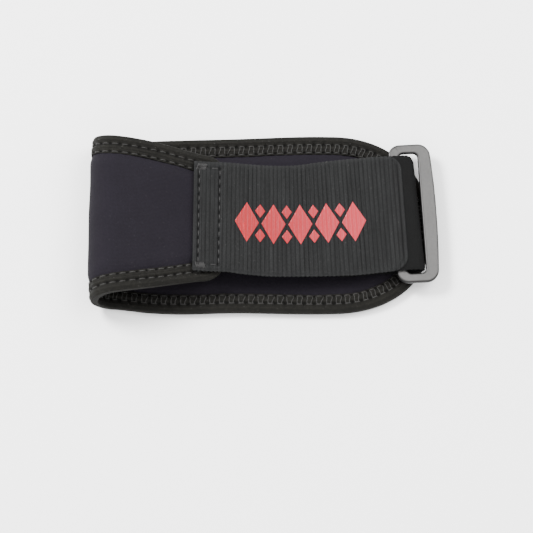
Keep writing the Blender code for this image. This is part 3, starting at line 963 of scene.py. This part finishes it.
def make_print(strap, film):
    """A plain row of large lozenges with pairs of small ones between, printed on the strap."""
    points, faces, flat = [], [], []
    start = 0
    for lozenge in lozenge_row(film):
        skin, pattern = lozenge_film(*lozenge, strap, film)
        rows, columns = skin.shape[:2]
        faces += (skin_faces(rows, columns) + start).tolist()
        points.append(skin.reshape(-1, 3))
        flat.append(pattern.reshape(-1, 2))
        start += rows * columns
    material = film_material(film)
    add_piece("printed_lozenges", np.concatenate(points), faces, np.concatenate(flat), material)


def node(tree, kind, inputs=None, **settings):
    """Places one node, with its settings, and fills or joins its inputs."""
    made = tree.nodes.new(kind)
    for name, value in settings.items():
        setattr(made, name, value)
    for key, value in (inputs or {}).items():
        if isinstance(value, bpy.types.NodeSocket):
            tree.links.new(value, made.inputs[key])
        else:
            made.inputs[key].default_value = value
    return made


def sums(tree, operation, first, second=0.0, third=0.0):
    """The result of one sum on numbers or joined values."""
    return node(tree, "ShaderNodeMath", {0: first, 1: second, 2: third}, operation=operation).outputs[0]


def humps(tree, turns):
    """Round humps from nothing to one, one for each whole turn."""
    return sums(tree, "ABSOLUTE", sums(tree, "SINE", sums(tree, "MULTIPLY", turns, math.pi)))


def ramp(tree, value, low, high, bottom=0.0, top=1.0, easing="LINEAR"):
    """Carries a value from one pair of limits to another."""
    limits = {0: value, 1: low, 2: high, 3: bottom, 4: top}
    return node(tree, "ShaderNodeMapRange", limits, interpolation_type=easing).outputs[0]


def blended(tree, share, first, second):
    """One colour mixed into another by a share."""
    return node(tree, "ShaderNodeMix", {0: share, 6: first, 7: second}, data_type="RGBA").outputs[2]


def toned(tree, colour, level):
    """A colour made lighter or darker."""
    return node(tree, "ShaderNodeVectorMath", {0: colour, "Scale": level}, operation="SCALE").outputs[0]


def speckle(tree, scale, detail, spot=None):
    """Noise over the object's own place, in metres, or over another."""
    if spot is None:
        spot = node(tree, "ShaderNodeTexCoord").outputs["Object"]
    return node(tree, "ShaderNodeTexNoise", {"Vector": spot, "Scale": scale, "Detail": detail}).outputs["Fac"]


def flat_pattern(tree):
    """Distance along and across the cloth, in metres, from its flat map."""
    spot = node(tree, "ShaderNodeUVMap", uv_map="cloth").outputs["UV"]
    parts = node(tree, "ShaderNodeSeparateXYZ", {0: spot})
    return parts.outputs[0], parts.outputs[1]


def opaque(colour):
    return tuple(colour) + (1.0,)


GREY = (0.1, 0.1, 0.1, 1.0)
LINT_COLOUR = (0.30, 0.29, 0.28, 1.0)


def fibre_grain(tree, given):
    """Uneven dye, fine fibre shading and a few pale specks of lint."""
    fine_swing, dye_swing, darkest = 1.4, 0.8, 0.15
    fine = speckle(tree, given["Grain"], 2.0)
    dye = speckle(tree, 120.0, 3.0)
    lint = ramp(tree, speckle(tree, 1100.0, 1.0), 0.70, 0.78)
    swing = sums(tree, "MULTIPLY_ADD", fine, fine_swing, -0.5 * (fine_swing + dye_swing))
    swing = sums(tree, "MULTIPLY_ADD", dye, dye_swing, swing)
    level = sums(tree, "MAXIMUM", sums(tree, "MULTIPLY_ADD", swing, given["Contrast"], 1.0), darkest)
    share = sums(tree, "MULTIPLY", lint, given["Lint"])
    return {"Colour": blended(tree, share, toned(tree, given["Colour"], level), LINT_COLOUR), "Height": fine}


def jersey_loops(tree, given):
    """Fine knitted loops: columns of small leaning strokes."""
    along, across = flat_pattern(tree)
    wale = sums(tree, "MULTIPLY", across, given["Wales"])
    course = sums(tree, "MULTIPLY_ADD", along, given["Courses"], sums(tree, "PINGPONG", wale, 0.5))
    furrow = sums(tree, "POWER", humps(tree, wale), 0.5)
    return {"Height": sums(tree, "MULTIPLY", humps(tree, course), furrow)}


def woven_yarn(tree, given):
    """Woven yarns: fine lines both ways, passing over and under by turns."""
    bead_depth = 0.6
    along, across = flat_pattern(tree)
    warp = sums(tree, "MULTIPLY", along, given["Along"])
    weft = sums(tree, "MULTIPLY", across, given["Across"])
    offset = sums(tree, "MULTIPLY", sums(tree, "FLOOR", warp), 0.5)
    bead = humps(tree, sums(tree, "ADD", weft, offset))
    bead = sums(tree, "MULTIPLY_ADD", bead, bead_depth, 1.0 - bead_depth)
    return {"Height": sums(tree, "MULTIPLY", humps(tree, warp), bead)}


def crest_wear_and_hollow_shade(tree, given):
    """Lightens the rubbed crests and darkens the hollows with painted shade."""
    level_ground, crest, hollow = 0.50, 0.56, 0.44
    point = node(tree, "ShaderNodeNewGeometry").outputs["Pointiness"]
    lift = sums(tree, "MULTIPLY", ramp(tree, point, level_ground, crest), given["Crest"])
    # Painted shade: the hollows, found by pointiness, darken the colour
    sink = sums(tree, "MULTIPLY", ramp(tree, point, level_ground, hollow), given["Hollow Shade"])
    level = sums(tree, "SUBTRACT", sums(tree, "ADD", lift, 1.0), sink)
    return {"Colour": toned(tree, given["Colour"], level)}


# Each shared shader group: what builds it, its inputs with their defaults, and its outputs
SHARED_GROUPS = {
    "Fibre Grain": (fibre_grain, {"Colour": GREY, "Grain": 2500.0, "Contrast": 0.3, "Lint": 0.1},
                    ("Colour", "Height")),
    "Jersey Loops": (jersey_loops, {"Wales": 1700.0, "Courses": 2200.0}, ("Height",)),
    "Woven Yarn": (woven_yarn, {"Along": 2300.0, "Across": 1600.0}, ("Height",)),
    "Crest Wear And Hollow Shade": (crest_wear_and_hollow_shade, {"Colour": GREY, "Crest": 0.3, "Hollow Shade": 0.4}, ("Colour",)),
}


def shared_group(name):
    """A shader node group with named sockets, built at its first use and shared after it."""
    found = bpy.data.node_groups.get(name)
    if found:
        return found
    build, defaults, results = SHARED_GROUPS[name]
    tree = bpy.data.node_groups.new(name, "ShaderNodeTree")
    labels = [(label, "INPUT") for label in defaults] + [(label, "OUTPUT") for label in results]
    for label, side in labels:
        kind = "NodeSocketColor" if label == "Colour" else "NodeSocketFloat"
        socket = tree.interface.new_socket(name=label, in_out=side, socket_type=kind)
        if side == "INPUT":
            socket.default_value = defaults[label]
    made = build(tree, node(tree, "NodeGroupInput").outputs)
    node(tree, "NodeGroupOutput", made)
    return tree


def placed_group(tree, name, inputs):
    """Places a shared group and gives its outputs."""
    return node(tree, "ShaderNodeGroup", inputs, node_tree=shared_group(name)).outputs


def dyed(tree, colour, grain, contrast, lint=0.0):
    """A colour with its grain: the grain is in specks to the metre, the rest are shares."""
    inputs = {"Colour": opaque(colour), "Grain": grain, "Contrast": contrast, "Lint": lint}
    return placed_group(tree, "Fibre Grain", inputs)


def rubbed(tree, colour, crest, hollow):
    """A colour lifted on the rubbed crests and darkened by painted shade in the hollows, each by a share."""
    return placed_group(tree, "Crest Wear And Hollow Shade", {"Colour": colour, "Crest": crest, "Hollow Shade": hollow})["Colour"]


def painted_yarn_shade(tree, yarn):
    """Painted shade of a weave: its colour is darker between its yarns."""
    darkest, swing = 0.62, 0.55
    return sums(tree, "MULTIPLY_ADD", yarn, swing, darkest)


def new_material(name):
    material = bpy.data.materials.new(name)
    material.use_nodes = True
    material.node_tree.nodes.clear()
    return material, material.node_tree


def finish_material(material, colour, height, depth, finish):
    """Joins a colour and a bump of some depth to a Principled shader with the given finish."""
    tree = material.node_tree
    bump = node(tree, "ShaderNodeBump", {"Strength": 1.0, "Distance": depth, "Height": height})
    inputs = {"Base Color": colour, "Normal": bump.outputs["Normal"], **finish}
    shader = node(tree, "ShaderNodeBsdfPrincipled", inputs)
    node(tree, "ShaderNodeOutputMaterial", {"Surface": shader.outputs["BSDF"]})
    return material


def cloth_material(name, colour, weave, depth, dye, wear_and_hollow_shade, finish):
    """Cloth with its dye and lint, lighter rubbed crests, and painted shade in its hollows and between its
    yarns; the weave is a shared group's name and inputs.
    """
    material, tree = new_material(name)
    grain_height = 0.35
    yarn = placed_group(tree, *weave)["Height"]
    fibre = dyed(tree, colour, **dye)
    # Rubbed crests lighter and painted shade in the hollows
    worn_and_hollow_shaded = rubbed(tree, fibre["Colour"], **wear_and_hollow_shade)
    height = sums(tree, "MULTIPLY_ADD", fibre["Height"], grain_height, yarn)
    # Painted shade between the yarns darkens the colour
    return finish_material(material, toned(tree, worn_and_hollow_shaded, painted_yarn_shade(tree, yarn)), height, depth, finish)


def jersey_material(cloth):
    weave = ("Jersey Loops", {"Wales": 1.0 / cloth.wale, "Courses": 1.25 / cloth.wale})
    dye = {"grain": 1500.0, "contrast": 0.34, "lint": 0.015}
    wear_and_hollow_shade = {"crest": 0.15, "hollow": 0.25}
    finish = {"Roughness": 0.92, "Specular IOR Level": 0.07, "Sheen Weight": 0.005, "Sheen Roughness": 0.5}
    return cloth_material("Neoprene Jersey", cloth.colour, weave, 0.05 * MM, dye, wear_and_hollow_shade, finish)


def tape_material(tape):
    weave = ("Woven Yarn", {"Along": 1.0 / tape.yarn, "Across": 0.8 / tape.yarn})
    dye = {"grain": 1000.0, "contrast": 0.95, "lint": 0.05}
    wear_and_hollow_shade = {"crest": 0.6, "hollow": 0.7}
    finish = {"Roughness": 0.80, "Specular IOR Level": 0.09, "Sheen Weight": 0.005, "Sheen Roughness": 0.4}
    return cloth_material("Binding Tape", tape.colour, weave, 0.10 * MM, dye, wear_and_hollow_shade, finish)


def thread_material(name, colour):
    weave = ("Woven Yarn", {"Along": 1400.0, "Across": 1.0})
    dye = {"grain": 3000.0, "contrast": 0.5, "lint": 0.05}
    wear_and_hollow_shade = {"crest": 0.3, "hollow": 0.3}
    finish = {"Roughness": 0.60, "Specular IOR Level": 0.3}
    return cloth_material(name, colour, weave, 0.05 * MM, dye, wear_and_hollow_shade, finish)


def painted_trough_shade_and_streaks(tree, along, across, strap):
    """Painted shade in the troughs between the ribs, and streaks that change from rib to rib."""
    streak_turns, streak_scale = 1.7, 45.0
    trough_share, crest_power = 0.75, 0.7
    turns = sums(tree, "DIVIDE", along, strap.rib_pitch)
    crest = sums(tree, "POWER", humps(tree, turns), crest_power)
    long_way = sums(tree, "MULTIPLY", turns, streak_turns)
    spot = node(tree, "ShaderNodeCombineXYZ", {0: long_way, 1: sums(tree, "MULTIPLY", across, streak_scale)})
    # Painted shade: the colour darkens from each rib's crest into the troughs
    level = sums(tree, "MULTIPLY_ADD", crest, strap.painted_trough_shade, 1.0 - trough_share * strap.painted_trough_shade)
    streak = speckle(tree, 1.0, 3.0, spot.outputs[0])
    swing = sums(tree, "MULTIPLY_ADD", streak, strap.streak, 1.0 - 0.5 * strap.streak)
    return sums(tree, "MULTIPLY", level, swing)


def pile_and_turn_shade_mask(tree, along, across):
    """One on the pile tape, past the webbing's round-cornered end, and nothing before it; it carries the
    pile's dark tone, which is also painted shade on the strap's turn.
    """
    corner = WEBBING_CORNER
    half = float(STRAP.half_at(STRAP.webbing_end))
    into = sums(tree, "ADD", sums(tree, "ABSOLUTE", across), corner - half)
    into = sums(tree, "MAXIMUM", into, 0.0)
    square = sums(tree, "MULTIPLY_ADD", sums(tree, "MULTIPLY", into, into), -1.0, corner ** 2)
    bow = sums(tree, "SQRT", sums(tree, "MAXIMUM", square, 0.0))
    beyond = sums(tree, "SUBTRACT", sums(tree, "ADD", along, corner - STRAP.webbing_end), bow)
    return ramp(tree, beyond, -0.1 * MM, 0.2 * MM)


def webbing_material(strap):
    """Ribbed elastic: painted shade in the troughs, streaky ribs, woven yarns with painted shade between
    them, and plain dark pile round the bar whose tone is partly painted shade on the turn.
    """
    material, tree = new_material("Elastic Webbing")
    grain_height = 0.5
    along, across = flat_pattern(tree)
    fibre = dyed(tree, strap.colour, 1300.0, 0.55, 0.03)
    weave = {"Along": 1.0 / strap.yarn, "Across": 0.62 / strap.yarn}
    yarn = placed_group(tree, "Woven Yarn", weave)["Height"]
    # Painted shade in the rib troughs and between the yarns
    level = sums(tree, "MULTIPLY", painted_trough_shade_and_streaks(tree, along, across, strap), painted_yarn_shade(tree, yarn))
    ribbed = toned(tree, rubbed(tree, fibre["Colour"], 0.3, 0.7), level)
    # The pile's dark tone: partly its own colour, partly painted shade on the strap's turn
    plain = toned(tree, fibre["Colour"], strap.pile_and_turn_shade)
    colour = blended(tree, pile_and_turn_shade_mask(tree, along, across), ribbed, plain)
    height = sums(tree, "MULTIPLY_ADD", fibre["Height"], grain_height, yarn)
    finish = {"Roughness": 0.78, "Specular IOR Level": strap.gloss}
    return finish_material(material, colour, height, 0.10 * MM, finish)


def film_material(film):
    """Printed rubbery film: red, a little glossy, paler pink and rougher in patches that mix rubbed print
    with a painted speckled highlight, and paler toward the right end.
    """
    material, tree = new_material("Printed Film")
    most_in_patches = 0.15
    fibre = dyed(tree, film.colour, 1500.0, 0.22)
    fresh = rubbed(tree, fibre["Colour"], 0.30, 0.35)
    patch = speckle(tree, 420.0, 3.0)
    patches = ramp(tree, patch, 0.52, 0.72, top=most_in_patches)
    along, _ = flat_pattern(tree)
    fade = ramp(tree, along, STRAP.run_at(film.left), STRAP.run_at(film.right), top=film.fade)
    share = sums(tree, "MAXIMUM", patches, fade)
    # Paler pink patches: partly rubbed print, partly a painted speckled highlight
    colour = blended(tree, share, fresh, opaque(film.worn_and_highlight_colour))
    finish = {"Roughness": sums(tree, "MULTIPLY_ADD", patch, 0.35, 0.22), "Specular IOR Level": 0.2}
    return finish_material(material, colour, fibre["Height"], 0.03 * MM, finish)


def ring_material(metal):
    """Satin grey metal: fine blasted grain, duller patches, and painted shade darkening the rolled rims and
    the hollows.
    """
    material, tree = new_material("Satin Ring")
    fibre = dyed(tree, metal.colour, 900.0, 0.20)
    # Painted shade: pointiness darkens the rolled rims and the hollows
    rim_and_hollow_shaded = rubbed(tree, fibre["Colour"], -0.3, 0.4)
    _, from_rim = flat_pattern(tree)
    # Painted shade: a band along each rim darkens, standing for the dark reflection of the rolled edges
    edge = ramp(tree, from_rim, 0.0, metal.painted_rim_shade_width, bottom=metal.painted_rim_shade_tone, easing="SMOOTHSTEP")
    rough = sums(tree, "MULTIPLY_ADD", speckle(tree, 260.0, 4.0), 0.30, 0.26)
    finish = {"Roughness": rough, "Metallic": 0.75, "Specular IOR Level": 0.5}
    return finish_material(material, toned(tree, rim_and_hollow_shaded, edge), fibre["Height"], 0.015 * MM, finish)


def floor_material(colour):
    """Matt paper with a trace of slow grey unevenness."""
    material, tree = new_material("Studio Floor")
    slow = speckle(tree, 3.0, 2.0)
    shade = blended(tree, sums(tree, "MULTIPLY", slow, 0.04), opaque(colour), (0.6, 0.6, 0.6, 1.0))
    finish = {"Roughness": 0.9, "Specular IOR Level": 0.1}
    return finish_material(material, shade, slow, 0.01 * MM, finish)


def soft_light(name, power, place, size):
    """A round softbox that faces the support."""
    lamp = bpy.data.lights.new(name, "AREA")
    lamp.shape = "DISK"
    lamp.size = size
    lamp.energy = power
    lit = linked(name, lamp)
    lit.location = place
    lit.rotation_euler = (-Vector(place)).to_track_quat("-Z", "Y").to_euler()


def photo_camera():
    """The camera at the photograph's slant, aimed so that the support lies where it does there."""
    scale = FRAME_WIDTH / FRAME_PIXELS
    middle = FRAME_PIXELS / 2
    aim_x = (middle - OBJECT_PIXEL[0]) * scale
    aim_y = (OBJECT_PIXEL[1] - middle) * scale / math.sin(CAMERA_ELEVATION)
    away = Vector((0.0, -math.cos(CAMERA_ELEVATION), math.sin(CAMERA_ELEVATION)))
    lens = bpy.data.cameras.new("Photo Camera")
    lens.sensor_width = SENSOR_WIDTH
    lens.lens = SENSOR_WIDTH * CAMERA_DISTANCE / FRAME_WIDTH
    lens.clip_start = 0.01
    lens.clip_end = 20.0
    camera = linked("Photo Camera", lens)
    camera.location = Vector((aim_x, aim_y, 0.0)) + away * CAMERA_DISTANCE
    camera.rotation_euler = (-away).to_track_quat("-Z", "Y").to_euler()
    bpy.context.scene.camera = camera


def make_stage(stage):
    """Pale floor, even sky, two softboxes and the camera."""
    mesh = bpy.data.meshes.new("studio_floor")
    wide = stage.floor_size / 2
    corners = [(-wide, -wide, 0), (wide, -wide, 0), (wide, wide, 0), (-wide, wide, 0)]
    mesh.from_pydata(corners, [], [(0, 1, 2, 3)])
    mesh.materials.append(floor_material(stage.floor_colour))
    linked("studio_floor", mesh)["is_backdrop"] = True
    world = bpy.data.worlds.new("Studio")
    bpy.context.scene.world = world
    world.use_nodes = True
    sky = world.node_tree.nodes["Background"]
    sky.inputs["Color"].default_value = (1.0, 1.0, 1.0, 1.0)
    sky.inputs["Strength"].default_value = stage.sky
    soft_light("Key Softbox", stage.key, place=(-0.80, 0.55, 1.05), size=0.50)
    soft_light("Fill Softbox", stage.fill, place=(0.70, 0.40, 1.00), size=0.80)
    photo_camera()


def number_prop(name, description, default, **settings):
    return bpy.props.FloatProperty(name=name, description=description, default=default, **settings)


def length_prop(name, description, default):
    return number_prop(name, description, default, unit="LENGTH", precision=5)


def colour_prop(name, description, default):
    return bpy.props.FloatVectorProperty(name=name, description=description, default=default,
                                         subtype="COLOR", size=3, min=0.0, max=1.0)


class SupportClothSettings(bpy.types.PropertyGroup):
    """The neoprene panel's softness, knit and colour."""
    colour: colour_prop("Colour", "Colour of the jersey", (0.0069, 0.0058, 0.0083))
    pinch: length_prop("Pinch", "How far each face draws in beside the tape", 0.00060)
    unevenness: length_prop("Unevenness", "Slow swell of the panel's faces", 0.00042)
    wale: length_prop("Wale", "Width of one column of knitted loops", 0.00055)


class SupportTapeSettings(bpy.types.PropertyGroup):
    """The binding tape's sewn relief, weave and colour."""
    colour: colour_prop("Colour", "Colour of the tape", (0.0046, 0.0043, 0.0035))
    stitch: length_prop("Stitch", "Length of one cover stitch", 0.0039)
    channel: length_prop("Channel", "Depth of the sewn rows", 0.00022)
    hole: length_prop("Hole", "Extra depth at a needle hole", 0.00060)
    pucker: length_prop("Pucker", "Draw between stitches", 0.00012)
    ridge: length_prop("Ridge", "Depth between the tape's long ridges", 0.00020)
    ridge_pitch: length_prop("Ridge Pitch", "Distance between the tape's long ridges", 0.0016)
    wander: length_prop("Wander", "Unevenness of the tape's inner edge", 0.00028)
    fullness: length_prop("Fullness", "How far the folded edge swells outward", 0.00018)
    yarn: length_prop("Yarn", "Width of the tape's yarns", 0.00042)


class SupportStrapSettings(bpy.types.PropertyGroup):
    """The elastic webbing's ribs, seams and colour."""
    colour: colour_prop("Colour", "Colour of the webbing", (0.0080, 0.0082, 0.0083))
    rib_pitch: length_prop("Rib Pitch", "Distance between crosswise ribs", 0.0017)
    rib_height: length_prop("Rib Height", "Height of the ribs from trough to crest", 0.00024)
    scallop: length_prop("Scallop", "How far the selvedge's loops stand out", 0.00020)
    seam_depth: length_prop("Seam Depth", "How deep the sewn rows lie", 0.00040)
    end_step: length_prop("End Step", "Drop from the webbing's end to the pile tape", 0.00045)
    sag: length_prop("Sag", "Slow unevenness of the free span", 0.00045)
    # Painted shade in the troughs between the ribs
    painted_trough_shade: number_prop("Painted Trough Shade", "Darkening of the troughs", 0.34)
    streak: number_prop("Streak", "Unevenness from rib to rib", 1.3)
    # Tone of the pile round the bar, partly painted shade on the strap's turn
    pile_and_turn_shade: number_prop("Pile And Turn Shade", "Tone of the pile tape", 0.22)
    gloss: number_prop("Gloss", "Specular level of the yarns", 0.09)
    stitch: length_prop("Stitch", "Length of one box stitch", 0.0037)
    yarn: length_prop("Yarn", "Width of the webbing's yarns", 0.00034)


class SupportThreadSettings(bpy.types.PropertyGroup):
    """The sewing thread's thickness and colours."""
    diameter: length_prop("Diameter", "Thickness of the thread", 0.00038)
    edge_colour: colour_prop("Edge Colour", "Colour of the tape's thread", (0.0070, 0.0066, 0.0060))
    strap_colour: colour_prop("Strap Colour", "Colour of the strap's thread", (0.0076, 0.0072, 0.0072))


class SupportPrintSettings(bpy.types.PropertyGroup):
    """The printed row of lozenges on the strap."""
    colour: colour_prop("Colour", "Colour of the print", (0.172, 0.0001, 0.0022))
    # Paler pink of the patches: rubbed print and painted speckled highlight
    worn_and_highlight_colour: colour_prop("Worn And Highlight Colour", "Colour where the print is rubbed", (0.300, 0.022, 0.034))
    left: length_prop("Left End", "Where the row starts along the strap", -0.0120)
    right: length_prop("Right End", "Where the row ends along the strap", 0.0415)
    height: length_prop("Height", "Height of a large lozenge", 0.0165)
    rise: length_prop("Left Offset", "Sideways place of the row's left end", -0.0012)
    fall: length_prop("Right Offset", "Sideways place of the row's right end", -0.0022)
    thickness: length_prop("Thickness", "Thickness of the film", 0.00014)
    fade: number_prop("Fade", "How rubbed the right end is", 0.60, min=0.0, max=1.0)
    large_half: number_prop("Large Share", "Half a large lozenge's length, as a share of its place", 0.45,
                            min=0.1, max=0.5)
    small_half: number_prop("Small Share", "Half a small lozenge's length, as a share of its place", 0.19,
                            min=0.05, max=0.3)
    count: bpy.props.IntProperty(name="Count", description="Number of large lozenges",
                                 default=5, min=2, max=12)


class SupportRingSettings(bpy.types.PropertyGroup):
    """The metal ring's rolled edges and colour."""
    colour: colour_prop("Colour", "Colour of the satin metal", (0.0685, 0.0672, 0.0659))
    edge_round: length_prop("Edge Round", "Radius of the rolled edges", 0.00075)
    crown: length_prop("Crown", "Height of the bar's middle above its edges", 0.0)
    # Painted shade along the ring's rims: its width and its tone
    painted_rim_shade_width: length_prop("Painted Rim Shade", "Width of the darker band along each rim", 0.00120)
    painted_rim_shade_tone: number_prop("Painted Rim Tone", "Tone of the rims", 0.14, min=0.0)


class SupportStageSettings(bpy.types.PropertyGroup):
    """Floor and lights."""
    floor_colour: colour_prop("Floor Colour", "Colour of the floor", (0.90, 0.90, 0.90))
    floor_size: length_prop("Floor Size", "Side of the square floor", 8.0)
    sky: number_prop("Sky", "Strength of the even light", 2.3, min=0.0)
    key: number_prop("Key", "Power of the key softbox", 56.0, unit="POWER")
    fill: number_prop("Fill", "Power of the fill softbox", 19.0, unit="POWER")


class SUPPORT_OT_body(bpy.types.Operator):
    """Make the neoprene panel"""
    bl_idname = "support.body"
    bl_label = "Neoprene Panel"

    def execute(self, context):
        make_body(context.scene.support_cloth)
        return {"FINISHED"}


class SUPPORT_OT_tape(bpy.types.Operator):
    """Make the folded tape round the panel's edge"""
    bl_idname = "support.tape"
    bl_label = "Edge Tape"

    def execute(self, context):
        make_binding(context.scene.support_tape)
        return {"FINISHED"}


class SUPPORT_OT_strap(bpy.types.Operator):
    """Make the ribbed elastic strap"""
    bl_idname = "support.strap"
    bl_label = "Elastic Strap"

    def execute(self, context):
        make_strap(context.scene.support_strap)
        return {"FINISHED"}


class SUPPORT_OT_ring(bpy.types.Operator):
    """Make the metal ring"""
    bl_idname = "support.ring"
    bl_label = "Metal Ring"

    def execute(self, context):
        make_ring(context.scene.support_ring)
        return {"FINISHED"}


class SUPPORT_OT_stitches(bpy.types.Operator):
    """Sew the tape and the strap"""
    bl_idname = "support.stitches"
    bl_label = "Stitches"

    def execute(self, context):
        scene = context.scene
        make_stitches(scene.support_tape, scene.support_strap, scene.support_thread)
        return {"FINISHED"}


class SUPPORT_OT_print(bpy.types.Operator):
    """Print the row of lozenges on the strap"""
    bl_idname = "support.print"
    bl_label = "Printed Lozenges"

    def execute(self, context):
        make_print(context.scene.support_strap, context.scene.support_print)
        return {"FINISHED"}


class SUPPORT_OT_stage(bpy.types.Operator):
    """Set up the floor, the lights and the camera"""
    bl_idname = "support.stage"
    bl_label = "Stage"

    def execute(self, context):
        make_stage(context.scene.support_stage)
        return {"FINISHED"}


OPERATORS = (SUPPORT_OT_body, SUPPORT_OT_tape, SUPPORT_OT_strap, SUPPORT_OT_ring,
             SUPPORT_OT_stitches, SUPPORT_OT_print, SUPPORT_OT_stage)

SETTINGS = {
    "support_cloth": SupportClothSettings,
    "support_tape": SupportTapeSettings,
    "support_strap": SupportStrapSettings,
    "support_thread": SupportThreadSettings,
    "support_print": SupportPrintSettings,
    "support_ring": SupportRingSettings,
    "support_stage": SupportStageSettings,
}


class SUPPORT_PT_finish(bpy.types.Panel):
    """Lists the pieces and their settings"""
    bl_idname = "SUPPORT_PT_finish"
    bl_label = "Wrist Support"
    bl_space_type = "VIEW_3D"
    bl_region_type = "UI"
    bl_category = "Support"

    def draw(self, context):
        for operator in OPERATORS:
            self.layout.operator(operator.bl_idname)
        for name, kind in SETTINGS.items():
            box = self.layout.box()
            box.label(text=kind.__doc__)
            for setting in kind.__annotations__:
                box.prop(getattr(context.scene, name), setting)


def register():
    for kind in (*SETTINGS.values(), *OPERATORS, SUPPORT_PT_finish):
        bpy.utils.register_class(kind)
    for name, kind in SETTINGS.items():
        setattr(bpy.types.Scene, name, bpy.props.PointerProperty(type=kind))


def unregister():
    for name in SETTINGS:
        delattr(bpy.types.Scene, name)
    for kind in (SUPPORT_PT_finish, *reversed(OPERATORS), *reversed(tuple(SETTINGS.values()))):
        bpy.utils.unregister_class(kind)


def main():
    register()
    bpy.ops.support.body()
    bpy.ops.support.tape()
    bpy.ops.support.strap()
    bpy.ops.support.ring()
    bpy.ops.support.stitches()
    bpy.ops.support.print()
    bpy.ops.support.stage()
    visual = [list(corner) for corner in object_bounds()]
    sizes = {"cad": [list(CAD_LOW), list(CAD_HIGH)], "visual": visual}


if __name__ == "__main__":
    main()
